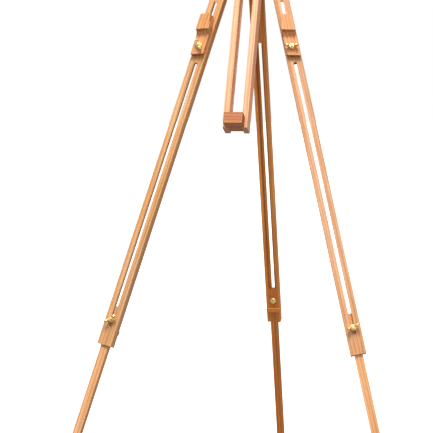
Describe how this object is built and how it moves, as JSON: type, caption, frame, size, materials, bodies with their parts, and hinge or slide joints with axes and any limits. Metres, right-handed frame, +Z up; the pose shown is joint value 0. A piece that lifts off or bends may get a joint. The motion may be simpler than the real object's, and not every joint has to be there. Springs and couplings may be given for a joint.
{
  "type": "tripod artist easel",
  "caption": "Folding wooden tripod easel with telescoping legs, canvas ledges, and a tilting, sliding mast with a canvas clamp.",
  "frame": {"origin": "on the floor, at the bottom centre of the outline of the easel standing open", "axes": "+Z up, -Y to the easel's front, +X to the right seen from the front"},
  "size_m": [0.828, 0.8371, 1.6825],
  "materials": {
    "leg_beech": "smooth oiled beech",
    "mast_beech": "smooth oiled beech, pale pink",
    "red_beech": "smooth oiled beech, redder",
    "dark_beech": "smooth oiled beech, darker",
    "brass": "bright brass-plated steel"
  },
  "bodies": {
    "head": {"head_left_cheek": "leg_beech", "head_right_cheek": "leg_beech", "head_spreader": "leg_beech", "head_screws": "brass", "left_pivot_bolt": "brass", "right_pivot_bolt": "brass", "pivot_washers": "brass", "mast_tilt_bolt": "brass", "mast_tilt_washer": "brass", "rear_pivot_bolt": "brass", "rear_pivot_nut": "brass", "rear_pivot_spacers": "dark_beech"},
    "left_pivot_nut": {"left_pivot_wing_nut": "brass"},
    "right_pivot_nut": {"right_pivot_wing_nut": "brass"},
    "mast_tilt_nut": {"mast_tilt_wing_nut": "brass"},
    "mast_carriage": {"mast_carriage": "leg_beech", "mast_clamp_plate": "leg_beech", "mast_clamp_stud": "brass", "mast_clamp_washer": "brass"},
    "mast_clamp_nut": {"mast_clamp_wing_nut": "brass"},
    "mast": {"mast_left_rail": "mast_beech", "mast_right_rail": "mast_beech", "mast_foot_block": "red_beech", "mast_foot_spacer": "red_beech", "mast_top_spacer": "mast_beech"},
    "canvas_clamp": {"canvas_clamp": "red_beech", "canvas_clamp_back_bar": "leg_beech", "canvas_clamp_bolt": "brass"},
    "canvas_clamp_nut": {"canvas_clamp_wing_nut": "brass"},
    "left_leg": {"left_upper_leg": "leg_beech", "left_leg_cleat": "leg_beech"},
    "left_lower_leg": {"left_lower_leg": "leg_beech", "left_leg_bolt": "brass", "left_leg_washer": "brass"},
    "left_leg_nut": {"left_leg_wing_nut": "brass"},
    "right_leg": {"right_upper_leg": "leg_beech", "right_leg_cleat": "leg_beech"},
    "right_lower_leg": {"right_lower_leg": "leg_beech", "right_leg_bolt": "brass", "right_leg_washer": "brass"},
    "right_leg_nut": {"right_leg_wing_nut": "brass"},
    "rear_leg": {"rear_upper_leg": "dark_beech", "rear_leg_cleat": "dark_beech"},
    "rear_lower_leg": {"rear_lower_leg": "dark_beech", "rear_leg_bolt": "brass", "rear_leg_washer": "brass"},
    "rear_leg_nut": {"rear_leg_wing_nut": "brass"},
    "left_ledge": {"left_ledge": "leg_beech", "left_ledge_bolt": "brass"},
    "left_ledge_nut": {"left_ledge_wing_nut": "brass"},
    "right_ledge": {"right_ledge": "leg_beech", "right_ledge_bolt": "brass"},
    "right_ledge_nut": {"right_ledge_wing_nut": "brass"}
  },
  "joints": [
    {"name": "left_leg_fold", "type": "hinge", "parent": "head", "child": "left_leg", "pos_m": [-0.05, -0.0499, 1.317], "axis": [-0.1347, -0.9433, 0.3034], "range_deg": [0, 14.6]},
    {"name": "right_leg_fold", "type": "hinge", "parent": "head", "child": "right_leg", "pos_m": [0.05, -0.0499, 1.317], "axis": [-0.1347, 0.9433, -0.3034], "range_deg": [0, 14.6]},
    {"name": "rear_leg_fold", "type": "hinge", "parent": "head", "child": "rear_leg", "pos_m": [0, 0.01459, 1.26726], "axis": [-1, 0, 0], "range_deg": [0, 33.3]},
    {"name": "left_leg_extension", "type": "slide", "parent": "left_leg", "child": "left_lower_leg", "axis": [0.2521, 0.2635, 0.9311], "range_m": [-0.01, 0.54]},
    {"name": "right_leg_extension", "type": "slide", "parent": "right_leg", "child": "right_lower_leg", "axis": [-0.2521, 0.2635, 0.9311], "range_m": [-0.01, 0.54]},
    {"name": "rear_leg_extension", "type": "slide", "parent": "rear_leg", "child": "rear_lower_leg", "axis": [0, -0.3007, 0.9537], "range_m": [-0.01, 0.5]},
    {"name": "left_ledge_height", "type": "slide", "parent": "left_leg", "child": "left_ledge", "axis": [0.2521, 0.2635, 0.9311], "range_m": [-0.004, 0.078]},
    {"name": "right_ledge_height", "type": "slide", "parent": "right_leg", "child": "right_ledge", "axis": [-0.2521, 0.2635, 0.9311], "range_m": [0, 0.082]},
    {"name": "mast_tilt", "type": "hinge", "parent": "head", "child": "mast_carriage", "pos_m": [0, 0.00677, 1.29837], "axis": [-1, 0, 0], "range_deg": [-8.5, 60]},
    {"name": "mast_height", "type": "slide", "parent": "mast_carriage", "child": "mast", "axis": [0, 0.4115, 0.9114], "range_m": [-0.24, 0.33]},
    {"name": "canvas_clamp_height", "type": "slide", "parent": "mast", "child": "canvas_clamp", "axis": [0, -0.4115, -0.9114], "range_m": [-0.018, 0.24]},
    {"name": "left_leg_nut_turn", "type": "hinge", "parent": "left_lower_leg", "child": "left_leg_nut", "pos_m": [-0.25193, -0.26258, 0.57269], "axis": [-0.1347, -0.9433, 0.3034], "continuous": true},
    {"name": "right_leg_nut_turn", "type": "hinge", "parent": "right_lower_leg", "child": "right_leg_nut", "pos_m": [0.25193, -0.26258, 0.57269], "axis": [0.1347, -0.9433, 0.3034], "continuous": true},
    {"name": "rear_leg_nut_turn", "type": "hinge", "parent": "rear_lower_leg", "child": "rear_leg_nut", "pos_m": [0, 0.24971, 0.55814], "axis": [0, 0.9537, 0.3007], "continuous": true},
    {"name": "left_ledge_nut_turn", "type": "hinge", "parent": "left_ledge", "child": "left_ledge_nut", "pos_m": [-0.09948, -0.11109, 1.14366], "axis": [-0.1347, -0.9433, 0.3034], "continuous": true},
    {"name": "right_ledge_nut_turn", "type": "hinge", "parent": "right_ledge", "child": "right_ledge_nut", "pos_m": [0.10049, -0.11215, 1.13994], "axis": [0.1347, -0.9433, 0.3034], "continuous": true},
    {"name": "left_pivot_nut_turn", "type": "hinge", "parent": "head", "child": "left_pivot_nut", "pos_m": [-0.05027, -0.05179, 1.31761], "axis": [-0.1347, -0.9433, 0.3034], "continuous": true},
    {"name": "right_pivot_nut_turn", "type": "hinge", "parent": "head", "child": "right_pivot_nut", "pos_m": [0.05027, -0.05179, 1.31761], "axis": [0.1347, -0.9433, 0.3034], "continuous": true},
    {"name": "mast_tilt_nut_turn", "type": "hinge", "parent": "head", "child": "mast_tilt_nut", "pos_m": [0.043, 0.00677, 1.29837], "axis": [1, 0, 0], "continuous": true},
    {"name": "mast_clamp_nut_turn", "type": "hinge", "parent": "mast_carriage", "child": "mast_clamp_nut", "pos_m": [0, -0.0707, 1.33335], "axis": [0, -0.9114, 0.4115], "continuous": true},
    {"name": "canvas_clamp_nut_turn", "type": "hinge", "parent": "canvas_clamp", "child": "canvas_clamp_nut", "pos_m": [0, 0.11247, 1.59736], "axis": [0, 0.9114, -0.4115], "continuous": true}
  ]
}
